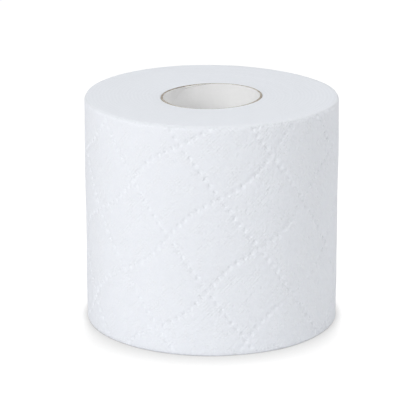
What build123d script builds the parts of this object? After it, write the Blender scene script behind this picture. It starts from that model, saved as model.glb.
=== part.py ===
from build123d import *
import os
from math import cos, degrees, floor, pi, radians, sin

# The roll: one web of embossed tissue wound on a card core, standing on its end.
# The origin is on the core's axis, in the plane that the roll stands on, and +Z points up the axis.

# The wound web
roll_diameter = 108.0
web_width = 98.4
sheet_thickness = 0.4
tail_angle = 75.0

# The soft edges of the wound web, as reach along the radius and drop along the axis
shoulder_reach = 2.4
shoulder_drop = 2.4
shoulder_bands = 2
foot_reach = 0.5
foot_rise = 1.0

# The card core, how far its upper end lies below the web's, and the film of glue that holds the first turn to it
core_bore_diameter = 41.2
core_wall = 0.9
core_setback = 0.9
glue_line = 0.15

# The lines that the turns leave on both end faces: one line to each group of turns
winding_pitch = 9.0
winding_line_width = 0.9
winding_line_depth = 0.45

# The embossing: rows of pin marks that rise and fall across the web and cross in a trellis
cell_side = 27.7
rising_angle = 38.6
falling_angle = -53.7
pins_per_side = 8
pin_width = 1.9
pin_depth = 0.45
rising_row_wave = 2.0
crossing_along_web = 3.6
crossing_height = 68.0
pin_margin = 1.4

# How far a cutting shape runs past the surface that it cuts
overrun = 0.3

# How near the rims of the pin marks, once they are splines, keep to the true ones
rim_tolerance = 1e-4

core_radius = core_bore_diameter / 2 + core_wall
core_length = web_width - core_setback
seat_radius = core_radius + glue_line
roll_radius = roll_diameter / 2
half_turn = pi * roll_radius
tail_along_web = radians((tail_angle + 270) % 360 - 180) * roll_radius


def direction(angle):
    """The unit vector at an angle in degrees round the roll's axis."""
    return Vector(cos(radians(angle)), sin(radians(angle)))


def quarter_turn(first_radius, growth, index):
    """Centre, radius and start angle of one quarter of a spiral drawn from four centres.

    The spiral starts at the tail's angle and gains growth with each full turn. Each quarter is a true arc, a quarter
    of growth larger than the last, about the next corner of a small square, so that neighbours meet smoothly.
    """
    step = growth / 4
    start = tail_angle + 90 * index
    centre = (direction(start + 90) + direction(start + 180)) * (step / 2)
    return centre, first_radius + index * step, start


def wall_quarter(index):
    """One quarter of the outer turn. Its end stands one sheet proud of its start."""
    return quarter_turn(roll_radius - 3 / 8 * sheet_thickness, sheet_thickness, index)


def turned_quarter(section, centre, start):
    """A section in the XZ plane, turned through a quarter of a circle about a centre."""
    return Pos(centre.X, centre.Y, 0) * Rot(0, 0, start) * revolve(section, Axis.Z, 90)


def web_section(radius):
    """Half of the wound web's section, from inside its seat on the core out to a radius."""
    inner = core_bore_diameter / 2
    shoulder = []
    for band in range(shoulder_bands + 1):
        turn = radians(90 * band / shoulder_bands)
        reach = shoulder_reach * (1 - cos(turn))
        drop = shoulder_drop * (1 - sin(turn))
        shoulder.append((radius - reach, web_width - drop))
    foot = [(radius - foot_reach, 0), (radius, foot_rise)]
    outline = Polyline((inner, 0), *foot, *shoulder, (inner, web_width), close=True)
    return Plane.XZ * make_face(outline)


def wound_web():
    """The plain web: four quarters of its outer turn, solid down to the core, with the step at the tail."""
    web = Part()
    for index in range(4):
        centre, radius, start = wall_quarter(index)
        web += turned_quarter(web_section(radius), centre, start)
    seat = Pos(0, 0, web_width / 2) * Cylinder(seat_radius, web_width + 2 * overrun)
    return web - seat


def winding_line_section(radius, height, up):
    """The section of a winding line: a vee whose point lies below the end face that it is cut in."""
    flare = winding_line_width / 2 * (1 + overrun / winding_line_depth)
    point = (radius, height - up * winding_line_depth)
    mouth_in = (radius - flare, height + up * overrun)
    mouth_out = (radius + flare, height + up * overrun)
    return Plane.XZ * make_face(Polyline(point, mouth_in, mouth_out, close=True))


def winding_line(height, up):
    """The cutters of one end face's winding line, which spirals from the core out to the soft edge."""
    first_radius = seat_radius + winding_pitch / 2
    last_radius = roll_radius - max(shoulder_reach, foot_reach) - winding_line_width
    quarters = floor((last_radius - first_radius) / (winding_pitch / 4))
    cutters = []
    for index in range(quarters):
        centre, radius, start = quarter_turn(first_radius, winding_pitch, index)
        section = winding_line_section(radius, height, up)
        cutters.append(turned_quarter(section, centre, start))
    return cutters


def pin_marks_on_web():
    """Each pin mark's place along the web from the front's middle, its height, and its row's angle."""
    rising = direction(rising_angle) * (cell_side / pins_per_side)
    falling = direction(falling_angle) * (cell_side / pins_per_side)
    across_rising = direction(rising_angle + 90)
    origin = Vector(crossing_along_web, crossing_height)
    reach = floor(2 * (half_turn + web_width) / cell_side)
    marks = []
    for row in range(-reach, reach + 1):
        for pin in range(-reach * pins_per_side, reach * pins_per_side):
            wave = -sin(pi * pin / pins_per_side) * rising_row_wave
            on_rising = origin + falling * (row * pins_per_side) + rising * pin + across_rising * wave
            on_falling = origin + rising * (row * pins_per_side) + falling * pin
            marks.append((on_rising.X, on_rising.Y, rising_angle))
            if pin % pins_per_side:
                marks.append((on_falling.X, on_falling.Y, falling_angle))
    return marks


def fits_on_wall(along, height):
    """Whether a pin mark lies on the straight part of the outer turn, clear of the tail."""
    low = foot_rise + pin_margin
    high = web_width - shoulder_drop - pin_margin
    from_tail = (along - tail_along_web + half_turn) % (2 * half_turn) - half_turn
    return low < height < high and abs(along) <= half_turn and abs(from_tail) > pin_margin


def pin():
    """The point of an embossing pin, square in section, as far as it goes into the wall and a little beyond."""
    half = pin_width / 2 * (1 + overrun / pin_depth)
    corners = [(half, half, overrun), (-half, half, overrun), (-half, -half, overrun), (half, -half, overrun)]
    return ConvexPolyhedron([(0, 0, -pin_depth), *corners])


def pins_in_wall():
    """The embossing pins, each square to the wall where it marks it."""
    shape = pin()
    pins = []
    for along, height, row_angle in pin_marks_on_web():
        if not fits_on_wall(along, height):
            continue
        angle = degrees(along / roll_radius) - 90
        centre, radius, _ = wall_quarter(floor((angle - tail_angle) % 360 / 90))
        outward = direction(angle)
        place = centre + outward * radius + Vector(0, 0, height)
        along_wall = direction(angle + 90)
        pins.append(Plane(place, along_wall, outward) * Rot(0, 0, row_angle) * shape)
    return pins


def paper_roll():
    """The wound web, embossed all over its wall, with the lines of its turns on both ends.

    Each side of a pin mark is held as one short spline, so that hundreds of marks stay light.
    """
    embossed = (wound_web() - pins_in_wall()).to_splines(tolerance=rim_tolerance).solid().fix()
    return embossed - winding_line(web_width, 1) - winding_line(0, -1)


def cardboard_core():
    """The card tube that the web is wound on, flush with the standing end and a little short of the upper one."""
    tube = Cylinder(core_radius, core_length) - Cylinder(core_bore_diameter / 2, core_length)
    return Pos(0, 0, core_length / 2) * tube


nodes = {
    "paper_roll": paper_roll(),
    "cardboard_core": cardboard_core(),
}
os.makedirs("parts", exist_ok=True)
for name, solid in nodes.items():
    export_step(solid, f"parts/{name}.step")
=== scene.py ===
from math import pi

import bpy
import numpy as np
from mathutils import Matrix, Vector, noise
from mathutils.geometry import delaunay_2d_cdt


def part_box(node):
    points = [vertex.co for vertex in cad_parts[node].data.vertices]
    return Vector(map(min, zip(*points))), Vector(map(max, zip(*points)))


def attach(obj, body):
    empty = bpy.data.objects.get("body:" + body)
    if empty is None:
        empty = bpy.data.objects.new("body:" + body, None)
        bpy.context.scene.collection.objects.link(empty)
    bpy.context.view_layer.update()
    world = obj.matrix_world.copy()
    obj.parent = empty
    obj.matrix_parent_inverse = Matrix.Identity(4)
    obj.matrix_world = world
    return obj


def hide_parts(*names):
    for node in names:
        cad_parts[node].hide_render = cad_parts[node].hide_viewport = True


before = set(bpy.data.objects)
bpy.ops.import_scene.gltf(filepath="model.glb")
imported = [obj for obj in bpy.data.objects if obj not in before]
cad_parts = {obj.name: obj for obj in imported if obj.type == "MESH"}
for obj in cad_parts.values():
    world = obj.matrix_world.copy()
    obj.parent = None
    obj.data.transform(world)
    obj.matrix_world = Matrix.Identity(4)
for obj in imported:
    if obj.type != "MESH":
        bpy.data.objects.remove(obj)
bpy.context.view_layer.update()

mm = 0.001

# -----------------------------------------------------------------------------------------------------------
# The card core: a tube of two plies of grey board, wound in a spiral, glued and sawn to length, with the
# web's first turn glued round it. Its bore is lined with paler paper, its sawn rim shows the brown-grey
# board, and the inner ply's end has come loose at the rim.
# -----------------------------------------------------------------------------------------------------------

_, core_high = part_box("cardboard_core")
core_outer = core_high[0]
core_top = core_high[2]
core_wall = 0.9 * mm
core_inner = core_outer - core_wall
ply_joint = core_inner + 0.5 * core_wall
rim_softness = 0.12 * mm
lower_edge_reach = 0.35 * core_wall

# The spiral seam, a fine groove in the lining
seam_lead = 104 * mm
seam_width = 0.3 * mm
seam_depth = 0.035 * mm
seam_flank = 0.75
seam_fullness = 1.6

# The loose end of the inner ply, as angles from +X seen from above: it stands in from 158 degrees to its
# corner at 122, and beyond the corner the ply next to it dips below the rim and comes back up to it at 90.
ply_corner = 122
ply_lifts_from = 158
ply_lift = 0.6 * mm
ply_lift_growth = 1.6
ply_lift_reach = 6 * mm
ply_lift_beyond_corner = 0.3
ply_dips_until = 90
ply_dip = 0.95 * mm
ply_dip_curve = 0.8
ply_dip_reach = 3 * mm
ply_joint_depth = 0.16 * mm
ply_joint_opening = 1.2
outer_ply_drop = 0.04 * mm

# The rim isn't quite square to the tube: it is lowest at the front left and highest at the right.
rim_offset = -0.12 * mm
rim_lean = 0.5 * mm
rim_high_at = 25
rim_fade = 12 * mm

# The mesh of the tube: even columns, the seam's own columns as shares of its width, and rows up the wall
core_columns = 240
core_column_gap = 0.7
seam_columns = (-0.5, -0.25, 0.0, 0.25, 0.5)
core_rows = 60
lowest_row = 0.4 * mm
highest_row = core_top - 1.2 * mm
rows_below_rim = (0.9 * mm, 0.55 * mm, 0.3 * mm, 0.15 * mm, 0.05 * mm)
rows_over_inner_ply = 4

card_edge_colour = (0.31, 0.275, 0.225, 1)
card_edge_fibre_colour = (0.52, 0.48, 0.42, 1)
# Glue between the plies, near black so that it also paints the shade in the gap behind the loose ply and at
# its dipped edge: painted shade
glue_and_gap_shade_colour = (0.1, 0.075, 0.05, 1)
liner_colour = (0.995, 0.995, 0.995, 1)
liner_fleck_colour = (0.975, 0.975, 0.975, 1)
card_grain = 900
card_fleck_grain = 260
card_tooth = 0.08 * mm


class Value:
    """A value in a finish. Arithmetic on values adds the Math nodes that work it out."""

    def __init__(self, finish, socket):
        self.finish, self.socket = finish, socket

    def worked(self, operation, *terms):
        return self.finish.node("ShaderNodeMath", {"operation": operation}, dict(enumerate(terms)))

    def __add__(self, other):
        return self.worked("ADD", self, other)

    __radd__ = __add__

    def __sub__(self, other):
        return self.worked("SUBTRACT", self, other)

    def __rsub__(self, other):
        return self.worked("SUBTRACT", other, self)

    def __mul__(self, other):
        return self.worked("MULTIPLY", self, other)

    __rmul__ = __mul__

    def __pow__(self, other):
        return self.worked("POWER", self, other)


class Finish:
    """The nodes of a material or of the world, added one by one."""

    def __init__(self, owner):
        owner.use_nodes = True
        self.owner, self.tree = owner, owner.node_tree
        self.tree.nodes.clear()

    def node(self, kind, settings=None, sockets=None, output=0):
        """Adds a node: its settings, then the values or links of its sockets. Gives one of its outputs."""
        added = self.tree.nodes.new(kind)
        for name, setting in (settings or {}).items():
            setattr(added, name, setting)
        for name, feed in (sockets or {}).items():
            if isinstance(feed, Value):
                self.tree.links.new(feed.socket, added.inputs[name])
            else:
                added.inputs[name].default_value = feed
        return Value(self, added.outputs[output]) if added.outputs else None

    def place(self):
        """The place on the surface, in the frame that the roll stands in."""
        return self.node("ShaderNodeTexCoord", output="Object")

    def mixed(self, factor, first, second):
        """The colour that lies between two colours."""
        return self.node("ShaderNodeMix", {"data_type": "RGBA"}, {0: factor, 6: first, 7: second}, output=2)

    def ramp(self, factor, low, high):
        """A value that rises smoothly from 0 at low to 1 at high."""
        sockets = {"Value": factor, "From Min": low, "From Max": high}
        return self.node("ShaderNodeMapRange", {"interpolation_type": "SMOOTHSTEP"}, sockets)

    def speckle(self, place, scale, detail=2.0):
        """Soft noise about 0.5."""
        return self.node("ShaderNodeTexNoise", {}, {"Vector": place, "Scale": scale, "Detail": detail})

    def bump(self, strength, distance, height):
        """The way that a surface faces when a height stands out of it."""
        sockets = {"Strength": strength, "Distance": distance, "Height": height}
        return self.node("ShaderNodeBump", {}, sockets)

    def shaded(self, sockets):
        """Ends the finish in one shader."""
        shader = self.node("ShaderNodeBsdfPrincipled", {}, sockets)
        self.node("ShaderNodeOutputMaterial", {}, {"Surface": shader})
        return self.owner


def solid(name, places, faces, materials, material_of_face):
    """A smooth mesh object from its vertices and faces, with a material for each face."""
    mesh = bpy.data.meshes.new(name)
    mesh.from_pydata(places, [], faces)
    for material in materials:
        mesh.materials.append(material)
    mesh.polygons.foreach_set("material_index", material_of_face)
    mesh.polygons.foreach_set("use_smooth", [True] * len(mesh.polygons))
    mesh.update()
    piece = bpy.data.objects.new(name, mesh)
    bpy.context.scene.collection.objects.link(piece)
    return piece


def card_finish(name, board, fibre, roughness=0.88, gloss=0.25):
    """Uncoated board: two tones of pressed fibre, and their tooth."""
    finish = Finish(bpy.data.materials.new(name))
    place = finish.place()
    fibres = finish.speckle(place, card_grain, 3.0)
    flecks = finish.speckle(place, card_fleck_grain)
    tone = finish.ramp(0.6 * fibres + 0.4 * flecks, 0.38, 0.62)
    return finish.shaded({
        "Base Color": finish.mixed(tone, board, fibre),
        "Roughness": roughness,
        "Specular IOR Level": gloss,
        "Normal": finish.bump(0.35, card_tooth, fibres),
    })


def ply_shift(angle):
    """How far the loose inner ply stands in from the outer one at the rim, and how far its edge dips."""
    lift = dip = 0.0
    if ply_corner <= angle < ply_lifts_from:
        share = (ply_lifts_from - angle) / (ply_lifts_from - ply_corner)
        lift = ply_lift * min(1.0, ply_lift_growth * share)
    elif ply_dips_until < angle < ply_corner:
        share = (angle - ply_dips_until) / (ply_corner - ply_dips_until)
        dip = ply_dip * share ** ply_dip_curve
        lift = ply_lift_beyond_corner * ply_lift * share
    return lift, dip


def rim_tilt(at):
    """How far the core's rim, and the first turns round it, stand above square at an angle in radians."""
    return rim_offset + rim_lean * np.cos(at - np.radians(rim_high_at))


seam_turn = np.radians(ply_corner)
wall_heights = [lowest_row + (highest_row - lowest_row) * k / core_rows for k in range(core_rows + 1)]
bore_heights = wall_heights + [core_top - down for down in rows_below_rim]


def core_outline(turn):
    """The wall in section at an angle round the tube, as radii and heights: up the bore and down outside."""
    lift, dip = ply_shift(np.degrees(turn) % 360)
    off_seam = abs(turn - seam_turn) / (seam_flank * seam_width / core_inner)
    groove = seam_depth * min(1.0, seam_fullness * max(0.0, 1 - off_seam))

    def bore(height):
        """The bore's radius, which is smaller towards the rim where the inner ply stands in."""
        return core_inner - lift * max(0.0, 1 - (core_top - height) / ply_lift_reach) ** 2 + groove

    def dipped(height):
        """A height on the inner ply, lower towards the rim where that ply's edge dips."""
        return height - dip * max(0.0, 1 - (core_top - height) / ply_dip_reach)

    # Over the rim: the inner ply's cut edge, the joint between the plies, and the outer ply's cut edge
    inner_edge = bore(core_top)
    inner_top = dipped(core_top)
    joint_bottom = inner_top - ply_joint_depth - ply_joint_opening * lift
    outer_ply_top = core_top - outer_ply_drop
    outline = [(core_inner + lower_edge_reach, 0.0)]
    outline += [(bore(dipped(height)), dipped(height)) for height in bore_heights]
    outline += [
        (inner_edge + rim_softness, dipped(core_top - 0.02 * mm)),
        (min(inner_edge + 0.4 * core_wall, ply_joint - 0.03 * mm), inner_top),
        (min(inner_edge + 0.48 * core_wall, ply_joint - 0.01 * mm), inner_top - 0.06 * mm),
        (ply_joint, joint_bottom),
        (ply_joint + 0.01 * mm, 0.3 * joint_bottom + 0.7 * outer_ply_top),
        (ply_joint + 0.02 * mm, outer_ply_top),
        (ply_joint + 0.09 * mm, core_top),
        (core_outer - rim_softness, core_top),
        (core_outer, core_top - rim_softness),
    ]
    outline += [(core_outer, height) for height in reversed(wall_heights)]
    outline += [(core_outer, rim_softness), (core_outer - rim_softness, 0.0)]
    return outline


def core_finish(ring, at):
    """Which finish follows a ring of the tube: 0 is lining paper, 1 is cut board and 2 is dark glue with
    painted shade.

    The dark glue finish paints the shade in the gap where the loose ply stands away, and in the hollow where
    its edge dips.
    """
    bore_end = len(bore_heights)
    joint = bore_end + rows_over_inner_ply
    if 0 < ring < bore_end:
        return 0
    if joint - 1 <= ring <= joint + 1 and ply_corner <= at < ply_lifts_from:
        return 2
    if bore_end <= ring < joint and ply_dips_until < at < ply_corner:
        return 2
    return 0 if ring == joint else 1


def core_tube():
    """The tube's mesh. Its columns lean along the spiral, so that the seam follows some of them."""
    seam_turns = [seam_turn + share * seam_width / core_inner for share in seam_columns]
    gap = core_column_gap * 2 * pi / core_columns
    even_turns = [2 * pi * k / core_columns for k in range(core_columns)]
    turns = [turn for turn in even_turns if min(abs(turn - near) for near in seam_turns) > gap]
    turns = sorted(turns + seam_turns)
    rings = list(zip(*[core_outline(turn) for turn in turns]))
    places = []
    for ring in rings:
        for turn, (radius, height) in zip(turns, ring):
            angle = turn + (core_top - height) / seam_lead * 2 * pi
            height += rim_tilt(angle) * max(0.0, 1 - (core_top - height) / rim_fade)
            places.append((radius * np.cos(angle), radius * np.sin(angle), height))
    faces, finishes = [], []
    for k in range(len(rings)):
        below, above = k * len(turns), (k + 1) % len(rings) * len(turns)
        for column, turn in enumerate(turns):
            beside = (column + 1) % len(turns)
            faces.append((below + beside, above + beside, above + column, below + column))
            finishes.append(core_finish(k, np.degrees(turn)))
    return places, faces, finishes


places, faces, finishes = core_tube()
liner = card_finish("core_liner_paper", liner_colour, liner_fleck_colour, 0.5, 0.6)
board = card_finish("core_board_edge", card_edge_colour, card_edge_fibre_colour)
# This finish is painted shade as much as glue: it darkens the ply gap and the dip
glue_and_gap_shade = card_finish("core_glue_and_painted_gap_shade", glue_and_gap_shade_colour, card_edge_colour)
core = solid("card_core", places, faces, [liner, board, glue_and_gap_shade], finishes)
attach(core, "root")
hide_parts("cardboard_core")

# -----------------------------------------------------------------------------------------------------------
# The wound web: one long strip of soft two-ply tissue, wound on the core and slit to width. Steel pins
# emboss it with a trellis of rows of small hollows. Its edges are rounded soft, and its tail is glued down at
# the back.
# -----------------------------------------------------------------------------------------------------------

_, web_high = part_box("paper_roll")
web_width = web_high[2]
roll_radius = 54 * mm
sheet_thickness = 0.4 * mm
tail_angle = 75
glue_line = 0.15 * mm
seat_radius = core_outer + glue_line
stand_off = 0.02 * mm

# The soft edges of the outer turn, and how far round the upper one the sheet's own edge lies, in degrees
shoulder_reach = 1.5 * mm
shoulder_drop = 1.5 * mm
foot_reach = 0.5 * mm
foot_rise = 1.0 * mm
edge_steps = 24
sheet_edge_turn = 50

# The embossing: rows of pin marks that rise and fall across the web and cross in a trellis
cell_side = 27.7 * mm
rising_angle = 38.6
falling_angle = -53.7
pins_per_side = 8
pin_width = 2.1 * mm
pin_depth = 0.54 * mm
pin_spread = 1.5
pin_curve = 1.5
pin_margin = 0.35 * pin_width
rising_row_wave = 2.0 * mm
crossing_along_web = 3.6 * mm
crossing_height = 68.0 * mm

# The tissue puffs up between the rows, and the outer turn lies a little slack.
pillow_rise = 0.16 * mm
pillow_curve = 0.7
pillow_middle = 0.55
slack_rise = 0.12 * mm
slack_scale = 28 * mm

# The tail is pressed down along its edge, which is a little uneven from the tear.
tail_lap = 0.35 * mm
tail_press = 0.06 * mm
tail_press_reach = 2.5 * mm
tail_tab_pitch = 4.1 * mm
tail_long_tab_pitch = 2.7 * tail_tab_pitch
tail_tab_reach = 0.35 * mm
tail_tab_fade = 4 * mm

# The wall's mesh: an even grid of equal triangles, and rings about each pin mark, as shares of its half width
# and the points on each
wall_grid = 1.1 * mm
grid_row_share = 0.866
grid_margin = 0.45 * wall_grid
pin_rings = ((0.0, 1), (0.3, 6), (0.62, 9), (0.9, 12), (1.22, 12))
pin_ring_margin = 0.42 * wall_grid

# The end faces: the upper one is hollow towards the core, groups of turns stand out as low ridges, and the
# first turns follow the core's tilted rim.
top_hollow = web_width - core_top
top_hollow_curve = 1.4
first_turns_curve = 10
turn_ring_step = 0.55 * mm
first_ring_share = 0.006
last_ring_gap = 0.3 * mm
turn_ridge_pitch = 2.3 * mm
turn_ridge_rise = 0.07 * mm
ridge_noise_step = 1.9
ridge_noise_place = 3.0
ridge_noise_circle = 0.4
ridge_fade = 6
sheet_edge_drop = 0.1 * mm
sheet_edge_fade = 30
stand_off_fade = 20
lip_rise = 0.27 * mm
lip_angle = 268
lip_low = 0.04 * mm
seat_softness = 0.08 * mm
seat_wall_reach = 0.35 * mm

# The outer turns' upper edge sags, most of all at the back right.
sag_depth = 0.7 * mm
sag_angle = 25
sag_across = 0.35
sag_reach = 14 * mm

# The tissue's own texture: a fine slanting waffle that comes and goes, loose fibres, and a crepe and crumple
# that are stronger towards +X
waffle_count = 200
waffle_pitch = 1.7 * mm
waffle_sway = 1.6
waffle_sway_grain = 90
rising_waffle = 0.25
falling_waffle = 0.21
faintest_waffle = 0.1
clump_grain = 170
fibre_grain = 1600
crepe_grain = 1000
crepe_stretch = (1, 1, 0.4)
crumple_grain = 520
waffle_share = 0.8
fibre_share = 0.4
crepe_share = 0.85
crumple_share = 1.4
texture_least = 0.85
texture_gain = 0.9
texture_gain_from = -0.3 * roll_radius
texture_gain_to = 0.78 * roll_radius
texture_depth = 0.24 * mm
# Painted shade over the upper shoulder, so that its tilt towards the lamps doesn't make it read brighter
shoulder_shade_from = web_width - 1.6 * mm
shoulder_shade_to = web_width - 0.6 * mm

# The turns' slit edges, which show as fine lines in groups, with painted shade in the gaps between the turns
end_fibre_grain = 1400
end_clump_grain = 300
end_sway_grain = 120
end_sway = 5.0
turns_in_group = 4
end_texture_depth = 0.06 * mm
# Painted shade over the end face's outer ring, where it rounds into the shoulder
end_shoulder_shade_from = roll_radius - 1.3 * mm
end_shoulder_shade_to = roll_radius - 0.6 * mm

tissue_colour = (0.832, 0.853, 0.895, 1)
tissue_hollow_colour = (0.808, 0.829, 0.876, 1)
# Paler where the pins pressed: partly the pressed plies, partly painted light that lifts the shade in the
# hollows
pressed_and_painted_light_colour = (0.864, 0.884, 0.924, 1)
# The end face is painted greyer than the wall's tissue, and darker still in the gaps between turns: painted
# shade between the packed turns
turn_edge_colour = (0.78, 0.803, 0.843, 1)
turn_gap_painted_shade_colour = (0.735, 0.758, 0.8, 1)
# Painted shade for the shoulder, on the wall and on the end face
shoulder_painted_shade_colour = (0.745, 0.765, 0.8, 1)

turn_length = 2 * pi * roll_radius
tail_along = np.radians((tail_angle + 270) % 360 - 180) * roll_radius
start_along = tail_along - turn_length


def heading(degrees_up):
    """The unit vector on the flat web at an angle above the direction that the web runs in."""
    return np.array([np.cos(np.radians(degrees_up)), np.sin(np.radians(degrees_up))])


rising_side = heading(rising_angle) * cell_side
falling_side = heading(falling_angle) * cell_side
rising_normal = heading(rising_angle + 90)
crossing = np.array([crossing_along_web, crossing_height])
edge_turns = np.linspace(0, pi / 2, edge_steps)


def edge_curve(reach, drop):
    """A soft edge as a quarter of an ellipse: distance along it, inset, rise, and the way that it faces."""
    inset, rise = reach * (1 - np.cos(edge_turns)), drop * np.sin(edge_turns)
    along = np.concatenate([[0], np.cumsum(np.hypot(np.diff(inset), np.diff(rise)))])
    out, up = drop * np.cos(edge_turns), reach * np.sin(edge_turns)
    size = np.hypot(out, up)
    return along, inset, rise, out / size, up / size


shoulder = edge_curve(shoulder_reach, shoulder_drop)
foot = edge_curve(foot_reach, foot_rise)
shoulder_start = web_width - shoulder_drop
web_top = shoulder_start + np.interp(np.radians(sheet_edge_turn), edge_turns, shoulder[0])
web_bottom = foot_rise - foot[0][-1]


def profile(rise):
    """Inset, height and facing of the roll's outline at a distance up the web."""
    up, down = rise - shoulder_start, foot_rise - rise
    inset = np.interp(up, shoulder[0], shoulder[1]) + np.interp(down, foot[0], foot[1])
    height = np.clip(rise, foot_rise, shoulder_start)
    height = height + np.interp(up, shoulder[0], shoulder[2]) - np.interp(down, foot[0], foot[2])
    out = np.where(up > 0, np.interp(up, shoulder[0], shoulder[3]), np.interp(down, foot[0], foot[3]))
    facing_up = np.interp(up, shoulder[0], shoulder[4]) - np.interp(down, foot[0], foot[4])
    return inset, height, out, facing_up


def pin_marks():
    """Where the pins mark the web, as distances along it and up it."""
    reach = int(2 * (turn_length + web_width) / cell_side)
    rows, pins = np.meshgrid(np.arange(-reach, reach + 1), np.arange(-reach * 4, reach * 4))
    rows, pins = rows.ravel(), pins.ravel()
    share = (pins / pins_per_side)[:, None]
    wave = -np.sin(pi * share) * rising_row_wave
    rising = crossing + rows[:, None] * falling_side + share * rising_side + wave * rising_normal
    falling = crossing + rows[:, None] * rising_side + share * falling_side
    falling = falling[pins % pins_per_side != 0]
    marks = np.concatenate([rising, falling])
    keep = (marks[:, 0] > start_along + pin_margin) & (marks[:, 0] < tail_along - pin_margin)
    keep &= (marks[:, 1] > web_bottom + pin_margin) & (marks[:, 1] < web_top - pin_margin)
    return marks[keep]


def off_rows(along, rise):
    """How far a place is off the nearest row of each kind: 0 on the row, and 1 midway between two."""
    inverse = np.linalg.inv(np.array([rising_side, falling_side]).T)
    flat = np.stack([along, rise]) - crossing[:, None]
    wave = -np.sin(pi * (inverse @ flat)[0]) * rising_row_wave
    rising_share, falling_share = inverse @ (flat - rising_normal[:, None] * wave)
    return np.abs(np.sin(pi * rising_share)), np.abs(np.sin(pi * falling_share))


def web_points():
    """Points on the flat web: rings about every pin mark, an even grid between, and a row along each border.

    Also gives the pin marks, and how many points run up each side border and round each end border.
    """
    marks = pin_marks()
    low, high = start_along + tail_lap, tail_along
    half = pin_width / 2
    near = []
    for k, (share, count) in enumerate(pin_rings):
        turn = 2 * pi * (np.arange(count) + 0.5 * (k % 2)) / count
        spread = share * half * np.stack([np.cos(turn), np.sin(turn)], -1)
        near.append((marks[:, None] + spread[None]).reshape(-1, 2))
    near = np.concatenate(near)
    rows = int(round((web_top - web_bottom) / (wall_grid * grid_row_share)))
    columns = int(round((high - low) / wall_grid))
    grid = []
    for row in range(1, rows):
        rise = web_bottom + (web_top - web_bottom) * row / rows
        offset = 0.25 + 0.5 * (row % 2)
        along = low + (high - low) * (np.arange(columns) + offset) / columns
        grid.append(np.stack([along, np.full(columns, rise)], -1))
    grid = np.concatenate(grid)
    clear = np.ones(len(grid), bool)
    reach = pin_rings[-1][0] * half + pin_ring_margin
    for mark in marks:
        clear &= np.hypot(grid[:, 0] - mark[0], grid[:, 1] - mark[1]) > reach
    inner = np.concatenate([near, grid[clear]])
    keep = (inner[:, 0] > low + grid_margin) & (inner[:, 0] < high - grid_margin)
    keep &= (inner[:, 1] > web_bottom + grid_margin) & (inner[:, 1] < web_top - grid_margin)
    steps_up = int(round((web_top - web_bottom) / wall_grid))
    up = web_bottom + (web_top - web_bottom) * np.arange(steps_up + 1) / steps_up
    around_web = low + (high - low) * np.arange(columns + 1) / columns
    start = np.stack([np.full(len(up), low), up], -1)
    tail = np.stack([np.full(len(up), high), up], -1)
    bottom = np.stack([around_web, np.full(len(around_web), web_bottom)], -1)[1:-1]
    top = np.stack([around_web, np.full(len(around_web), web_top)], -1)[1:-1]
    return marks, np.concatenate([start, tail, bottom, top, inner[keep]]), len(up), len(around_web)


def relief(points, marks):
    """How far the tissue stands off the roll's outline at points on the web, and how hard it is pinned."""
    along, rise = points[:, 0], points[:, 1]
    off_rising, off_falling = off_rows(along, rise)
    height = pillow_rise * ((off_rising * off_falling) ** pillow_curve - pillow_middle)
    pinned = np.zeros(len(points))
    half = pin_width / 2
    reach = 1.3 * half
    for mark in marks:
        close = np.nonzero((np.abs(along - mark[0]) < reach) & (np.abs(rise - mark[1]) < reach))[0]
        share = np.hypot(along[close] - mark[0], rise[close] - mark[1]) / half
        depth = np.clip(1 - share ** 2 / pin_spread, 0, 1) ** pin_curve
        height[close] -= pin_depth * depth
        pinned[close] = np.maximum(pinned[close], depth)
    return height, pinned


def top_sag(at):
    """How far the outer turns' upper edge sinks: most at the back right, and a little across from there."""
    towards = np.cos(at - np.radians(sag_angle))
    return np.where(towards > 0, sag_depth, sag_across * sag_depth) * towards ** 2


marks, flat, side_count, rim_count = web_points()
height, pinned = relief(flat, marks)
to_tail = tail_along - flat[:, 0]
angle = flat[:, 0] / roll_radius - pi / 2
share = (flat[:, 0] - start_along) / turn_length
inset, level, facing_out, facing_up = profile(flat[:, 1])
slack = np.array([
    noise.noise(Vector((np.cos(a) * roll_radius, np.sin(a) * roll_radius, z)) / slack_scale)
    for a, z in zip(angle, level)
])
height = height + slack_rise * slack
loose = 1 - np.clip(to_tail / tail_press_reach, 0, 1)
radius = roll_radius - 0.5 * sheet_thickness + (sheet_thickness * share - tail_press * loose ** 2)
radius = radius - inset + height * facing_out
level = level + height * facing_up - top_sag(angle) * np.clip(1 - (web_width - level) / sag_reach, 0, 1)
level = np.maximum(level, stand_off)
tab = np.sin(2 * pi * flat[:, 1] / tail_tab_pitch) * tail_tab_reach
tab += 0.5 * tail_tab_reach * np.sin(2 * pi * flat[:, 1] / tail_long_tab_pitch + 1.0)
to_border = np.minimum(to_tail, flat[:, 0] - (start_along + tail_lap))
angle = angle + tab * np.clip(1 - to_border / tail_tab_fade, 0, 1) / roll_radius
wall_places = np.stack([radius * np.cos(angle), radius * np.sin(angle), level], -1)

# The rim points run round the web's top and bottom borders from its start to its tail.
top_rim = [side_count - 1] + [2 * side_count + (rim_count - 2) + k for k in range(rim_count - 2)]
top_rim += [2 * side_count - 1]
bottom_rim = [0] + [2 * side_count + k for k in range(rim_count - 2)] + [side_count]

_, _, triangles, sources, _, _ = delaunay_2d_cdt([Vector(point) for point in flat / mm], [], [], 0, 1e-6)
places = [tuple(place) for place in wall_places]
faces = [tuple(sources[corner][0] for corner in triangle) for triangle in triangles]
faces += [(side_count + k, k, k + 1, side_count + k + 1) for k in range(side_count - 1)]
finishes = [0] * len(faces)


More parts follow.
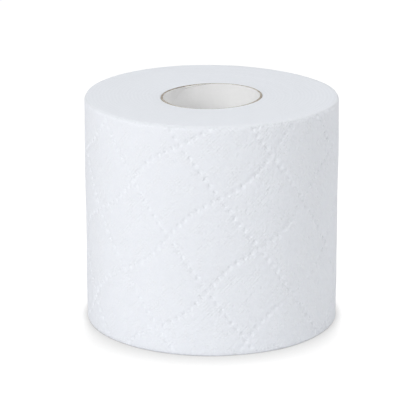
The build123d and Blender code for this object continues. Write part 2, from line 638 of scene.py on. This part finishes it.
def turn_ridges(radius, angle):
    """How far groups of turns stand above or below the end face."""
    turn = (radius - seat_radius) / turn_ridge_pitch - angle / (2 * pi)
    up, across = ridge_noise_circle * np.sin(angle), ridge_noise_circle * np.cos(angle)
    return turn_ridge_rise * noise.noise(Vector((turn * ridge_noise_step, ridge_noise_place + up, across)))


def lip(at):
    """How far the first turns stand above the core's rim: most of all at the front left."""
    return lip_rise * max(0.0, np.cos(at - np.radians(lip_angle))) - lip_low


def end_ring(rim, share, face):
    """A ring of vertices across an end face, at a share of the way from its rim to the core."""
    shoulder_radius = roll_radius - shoulder_reach
    made = []
    for corner in rim:
        x, y, _ = places[corner]
        rim_radius, at = np.hypot(x, y), np.arctan2(y, x)
        out = rim_radius + (seat_radius - rim_radius) * share
        ridge = turn_ridges(out, at) * min(1.0, ridge_fade * share, ridge_fade * (1 - share))
        if face == "top":
            inset = max(0.0, out - shoulder_radius) / shoulder_reach
            sunk = max(0.0, (shoulder_radius - out) / (shoulder_radius - seat_radius))
            height = shoulder_start + shoulder_drop * (1 - min(inset, 1.0) ** 2) ** 0.5 + ridge
            height -= top_hollow * sunk ** top_hollow_curve
            height -= sheet_edge_drop * min(1.0, sheet_edge_fade * share)
            height += (lip(at) + rim_tilt(at)) * sunk ** first_turns_curve - top_sag(at) * (1 - share)
        else:
            height = max(0.0, -ridge) + stand_off * min(1.0, stand_off_fade * share)
        made.append((out * np.cos(at), out * np.sin(at), height))
    return made


def seat_ring(rim, out, height, face=""):
    """A ring of vertices where the first turn lies round the core."""
    made = []
    for corner in rim:
        x, y, _ = places[corner]
        at = np.arctan2(y, x)
        rise = lip(at) + rim_tilt(at) if face == "top" else 0
        made.append((out * np.cos(at), out * np.sin(at), height + rise))
    return made


ring_count = int(round((roll_radius - seat_radius) / turn_ring_step))
last_share = 1 - last_ring_gap / (roll_radius - seat_radius)
shares = [last_share * (k + 1) / ring_count for k in range(ring_count)]
rings = [end_ring(top_rim, share, "top") for share in [first_ring_share] + shares]
rings.append(seat_ring(top_rim, seat_radius + seat_softness, core_top - seat_softness, "top"))
rings.append(seat_ring(top_rim, seat_radius, core_top - seat_wall_reach, "top"))
rings.append(seat_ring(bottom_rim, seat_radius, seat_wall_reach))
rings.append(seat_ring(bottom_rim, seat_radius + seat_softness, seat_softness))
rings += [end_ring(bottom_rim, share, "bottom") for share in reversed(shares)]
first_corner = len(places)
for ring in rings:
    places += ring


def ring_corner(k, column):
    """The vertex in a column of the k-th ring, where the top rim is the first and the bottom rim the last."""
    column %= rim_count
    if k == 0:
        return top_rim[column]
    if k == len(rings) + 1:
        return bottom_rim[column]
    return first_corner + (k - 1) * rim_count + column


for k in range(len(rings) + 1):
    for column in range(rim_count):
        outer, outer_next = ring_corner(k, column), ring_corner(k, column + 1)
        faces.append((outer, outer_next, ring_corner(k + 1, column + 1), ring_corner(k + 1, column)))
        finishes.append(1)


def wall_finish():
    """The embossed outer turn: soft white tissue, paler where a pin has pressed its plies together, which
    also paints light into the shade of the hollows, and darker near its upper edge as painted shade over the
    shoulder.
    """
    finish = Finish(bpy.data.materials.new("embossed_tissue"))
    place = finish.place()
    x, y, z = (finish.node("ShaderNodeSeparateXYZ", {}, {0: place}, output=axis) for axis in "XYZ")
    turn = finish.node("ShaderNodeMath", {"operation": "ARCTAN2"}, {0: x, 1: 0 - y})
    clumps = finish.speckle(place, clump_grain)
    fibres = finish.speckle(place, fibre_grain)
    stretched = finish.node("ShaderNodeMapping", {}, {"Vector": place, "Scale": crepe_stretch})
    crepe = finish.speckle(stretched, crepe_grain, 1.0)
    crumple = finish.speckle(place, crumple_grain, 1.0)
    sway = waffle_sway * finish.speckle(place, waffle_sway_grain, 1.0)
    along, up = turn * waffle_count, z * (2 * pi / waffle_pitch)
    rising = finish.node("ShaderNodeMath", {"operation": "SINE"}, {0: along - up + sway})
    falling = finish.node("ShaderNodeMath", {"operation": "SINE"}, {0: along + up + sway})
    strength = faintest_waffle + (1 - faintest_waffle) * finish.ramp(clumps, 0.36, 0.62)
    waffle = (rising_waffle * rising + falling_waffle * falling) * strength
    rough = texture_least + texture_gain * finish.ramp(x, texture_gain_from, texture_gain_to)
    creased = (crepe_share * crepe + crumple_share * crumple) * rough
    texture = waffle_share * waffle + fibre_share * fibres + creased
    tone = finish.ramp(0.5 * clumps + 0.5 * fibres, 0.35, 0.65)
    pressing = finish.node("ShaderNodeAttribute", {"attribute_name": "pin_press"}, output="Fac")
    sheet = finish.mixed(tone, tissue_hollow_colour, tissue_colour)
    # The pin hollows are painted paler, which lifts their shade: painted light
    sheet = finish.mixed(pressing, sheet, pressed_and_painted_light_colour)
    # Painted shade over the shoulder
    near_edge = finish.ramp(z, shoulder_shade_from, shoulder_shade_to)
    return finish.shaded({
        "Base Color": finish.mixed(near_edge, sheet, shoulder_painted_shade_colour),
        "Roughness": 0.95,
        "Specular IOR Level": 0.15,
        "Sheen Weight": 0.08,
        "Sheen Roughness": 0.6,
        "Normal": finish.bump(1.0, texture_depth, texture),
    })


def end_finish():
    """The slit ends of the turns: fine spiral lines of soft edges, close together, painted greyer than the
    wall's tissue and darker in the gaps between turns as painted shade, and darker over the shoulder as
    painted shade.
    """
    finish = Finish(bpy.data.materials.new("tissue_turn_ends"))
    place = finish.place()
    x, y = (finish.node("ShaderNodeSeparateXYZ", {}, {0: place}, output=axis) for axis in "XY")
    out = (x * x + y * y) ** 0.5
    turn = finish.node("ShaderNodeMath", {"operation": "ARCTAN2"}, {0: y, 1: x})
    fibres = finish.speckle(place, end_fibre_grain, 3.0)
    clumps = finish.speckle(place, end_clump_grain)
    sway = end_sway * finish.speckle(place, end_sway_grain)
    phase = out * (2 * pi / sheet_thickness) - turn + sway
    lines = finish.node("ShaderNodeMath", {"operation": "SINE"}, {0: phase})
    groups = finish.node("ShaderNodeMath", {"operation": "SINE"}, {0: phase * (1 / turns_in_group)})
    tone = finish.ramp(0.5 + 0.12 * lines + 0.1 * groups + 0.5 * (fibres - 0.5), 0.1, 0.75)
    texture = 0.3 * lines + 0.4 * fibres + 3.0 * clumps
    # Painted shade: darker lines in the gaps between turns
    ends = finish.mixed(tone, turn_gap_painted_shade_colour, turn_edge_colour)
    # Painted shade over the shoulder ring
    near_edge = finish.ramp(out, end_shoulder_shade_from, end_shoulder_shade_to)
    return finish.shaded({
        "Base Color": finish.mixed(near_edge, ends, shoulder_painted_shade_colour),
        "Roughness": 0.97,
        "Specular IOR Level": 0.12,
        "Normal": finish.bump(0.6, end_texture_depth, texture),
    })


web = solid("wound_tissue", places, faces, [wall_finish(), end_finish()], finishes)
web.data.set_sharp_from_angle(angle=np.radians(62))
press = web.data.attributes.new("pin_press", "FLOAT", "POINT")
press.data.foreach_set("value", list(pinned) + [0.0] * (len(places) - len(pinned)))
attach(web, "root")
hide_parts("paper_roll")

# -----------------------------------------------------------------------------------------------------------
# The studio: a white card floor that runs out to the white of the room, which lights the roll from all
# round. Three square soft lamps face it: the key at the front left, a fill at the right, and one overhead.
# -----------------------------------------------------------------------------------------------------------

floor_reach = 4.0
floor_bounce = 0.96
floor_seen = 0.2
floor_glow = 0.9
# The painted contact shadow: its tone, and how far it reaches in front and at the sides
floor_shade = 0.36
shade_reach_front = 21 * mm
shade_reach_side = 4 * mm
shade_front_starts = 8 * mm
room_light = 0.36
background_white = 0.991
lamp_distance = 1.2
lamp_size = 0.6
key_power, key_azimuth, key_elevation = 5.9, -41, 26.5
fill_power, fill_azimuth, fill_elevation = 2.8, 80, 30
top_power, top_azimuth, top_elevation = 5.4, 0, 84

camera_distance = 0.97
camera_elevation = 17.04
camera_lens = 195.08
camera_shift = (-0.00834, -0.00841)


def white(value):
    """A neutral colour of that brightness."""
    return (value, value, value, 1)


def seen_directly(finish):
    """1 for what the camera sees, itself, in gloss or through glass, and 0 for what only lights the roll."""
    kinds = ("Is Camera Ray", "Is Glossy Ray", "Is Transmission Ray")
    camera, glossy, through = (finish.node("ShaderNodeLightPath", output=kind) for kind in kinds)
    both = finish.node("ShaderNodeMath", {"operation": "MAXIMUM"}, {0: camera, 1: glossy})
    return finish.node("ShaderNodeMath", {"operation": "MAXIMUM"}, {0: both, 1: through})


def floor_finish():
    """White card that keeps the roll's shadow, with a painted contact shadow from ambient occlusion that
    reaches further in front than at the sides, and otherwise shows as the background's white.
    """
    finish = Finish(bpy.data.materials.new("studio_floor_white"))
    lighting = finish.node("ShaderNodeBsdfDiffuse", {}, {"Color": white(floor_bounce)})
    y = finish.node("ShaderNodeSeparateXYZ", {}, {0: finish.place()}, output="Y")
    in_front = finish.ramp(0 - y, shade_front_starts, roll_radius)
    reach = shade_reach_side + (shade_reach_front - shade_reach_side) * in_front
    # Ambient occlusion that paints the contact shadow into the seen colour and glow
    openness = finish.node("ShaderNodeAmbientOcclusion", {"samples": 16}, {"Distance": reach}, output="AO")
    seen = finish.node("ShaderNodeBsdfPrincipled", {}, {
        "Base Color": finish.mixed(openness, white(floor_seen * floor_shade), white(floor_seen)),
        "Roughness": 1.0,
        "Specular IOR Level": 0.0,
        "Emission Color": finish.mixed(openness, white(floor_shade), white(1)),
        "Emission Strength": floor_glow,
    })
    chosen = finish.node("ShaderNodeMixShader", {}, {0: seen_directly(finish), 1: lighting, 2: seen})
    finish.node("ShaderNodeOutputMaterial", {}, {"Surface": chosen})
    return finish.owner


corners = [(x * floor_reach, y * floor_reach, 0) for x, y in ((-1, -1), (1, -1), (1, 1), (-1, 1))]
floor = solid("studio_floor", corners, [(0, 1, 2, 3)], [floor_finish()], [0])

world = bpy.data.worlds.new("white_room")
bpy.context.scene.world = world
room = Finish(world)
strength = room_light + (background_white - room_light) * seen_directly(room)
backdrop = room.node("ShaderNodeBackground", {}, {"Color": white(1), "Strength": strength})
room.node("ShaderNodeOutputWorld", {}, {"Surface": backdrop})

middle = Vector((0, 0, web_width / 2))


def stood(name, data, azimuth, elevation, distance):
    """Stands a camera or lamp round the roll's middle, facing it. Azimuth 0 is the front and turns right."""
    turn, rise = np.radians(azimuth), np.radians(elevation)
    way = Vector((np.sin(turn) * np.cos(rise), -np.cos(turn) * np.cos(rise), np.sin(rise)))
    place = middle + distance * way
    facing = (middle - place).to_track_quat("-Z", "Y")
    stand = bpy.data.objects.new(name, data)
    stand.matrix_world = Matrix.LocRotScale(place, facing, None)
    bpy.context.scene.collection.objects.link(stand)
    return stand


def soft_lamp(name, power, azimuth, elevation):
    """A square soft lamp that faces the roll's middle."""
    lamp = bpy.data.lights.new(name, "AREA")
    lamp.energy, lamp.size = power, lamp_size
    stood(name, lamp, azimuth, elevation, lamp_distance)


soft_lamp("key_lamp", key_power, key_azimuth, key_elevation)
soft_lamp("fill_lamp", fill_power, fill_azimuth, fill_elevation)
soft_lamp("top_lamp", top_power, top_azimuth, top_elevation)

camera = bpy.data.cameras.new("camera")
camera.lens = camera_lens
camera.shift_x, camera.shift_y = camera_shift
bpy.context.scene.camera = stood("camera", camera, 0, camera_elevation, camera_distance)
bpy.context.scene.view_settings.view_transform = "Standard"
